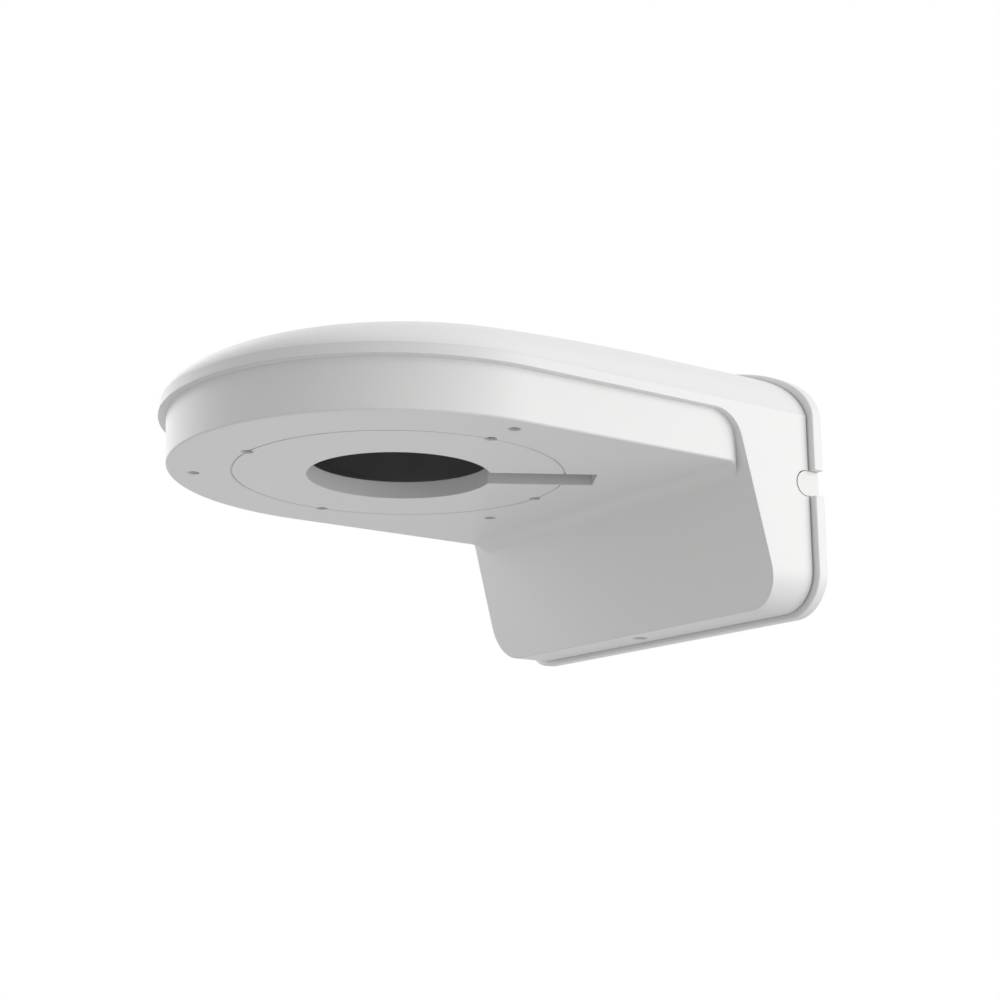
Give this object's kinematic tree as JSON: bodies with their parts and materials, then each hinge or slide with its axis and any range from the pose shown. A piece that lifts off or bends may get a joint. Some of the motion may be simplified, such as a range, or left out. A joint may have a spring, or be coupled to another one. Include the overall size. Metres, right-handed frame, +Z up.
{
  "type": "camera wall bracket",
  "caption": "Hollow cast arm with a round head, domed top and sloping foot that hangs a dome camera from a wall plate and hides its cable.",
  "frame": {"origin": "centre of the rectangle of wall fixing holes, on the plane of the wall", "axes": "+Y into the wall, so the arm reaches out along -Y; +Z up; +X to the side with the cable entry"},
  "size_m": [0.1376, 0.1604, 0.0797],
  "materials": {
    "white_coat": "smooth satin white powder coat on cast aluminium",
    "white_plastic": "smooth moulded plastic in the colour of the coat",
    "steel": "zinc-plated, dull",
    "dark_rubber": "matte closed-cell strip"
  },
  "bodies": {
    "root": {"housing": "white_coat", "wall_plate": "white_coat", "entry_plug": "white_plastic", "locking_screw": "steel", "seam_gasket": "dark_rubber"}
  },
  "joints": []
}
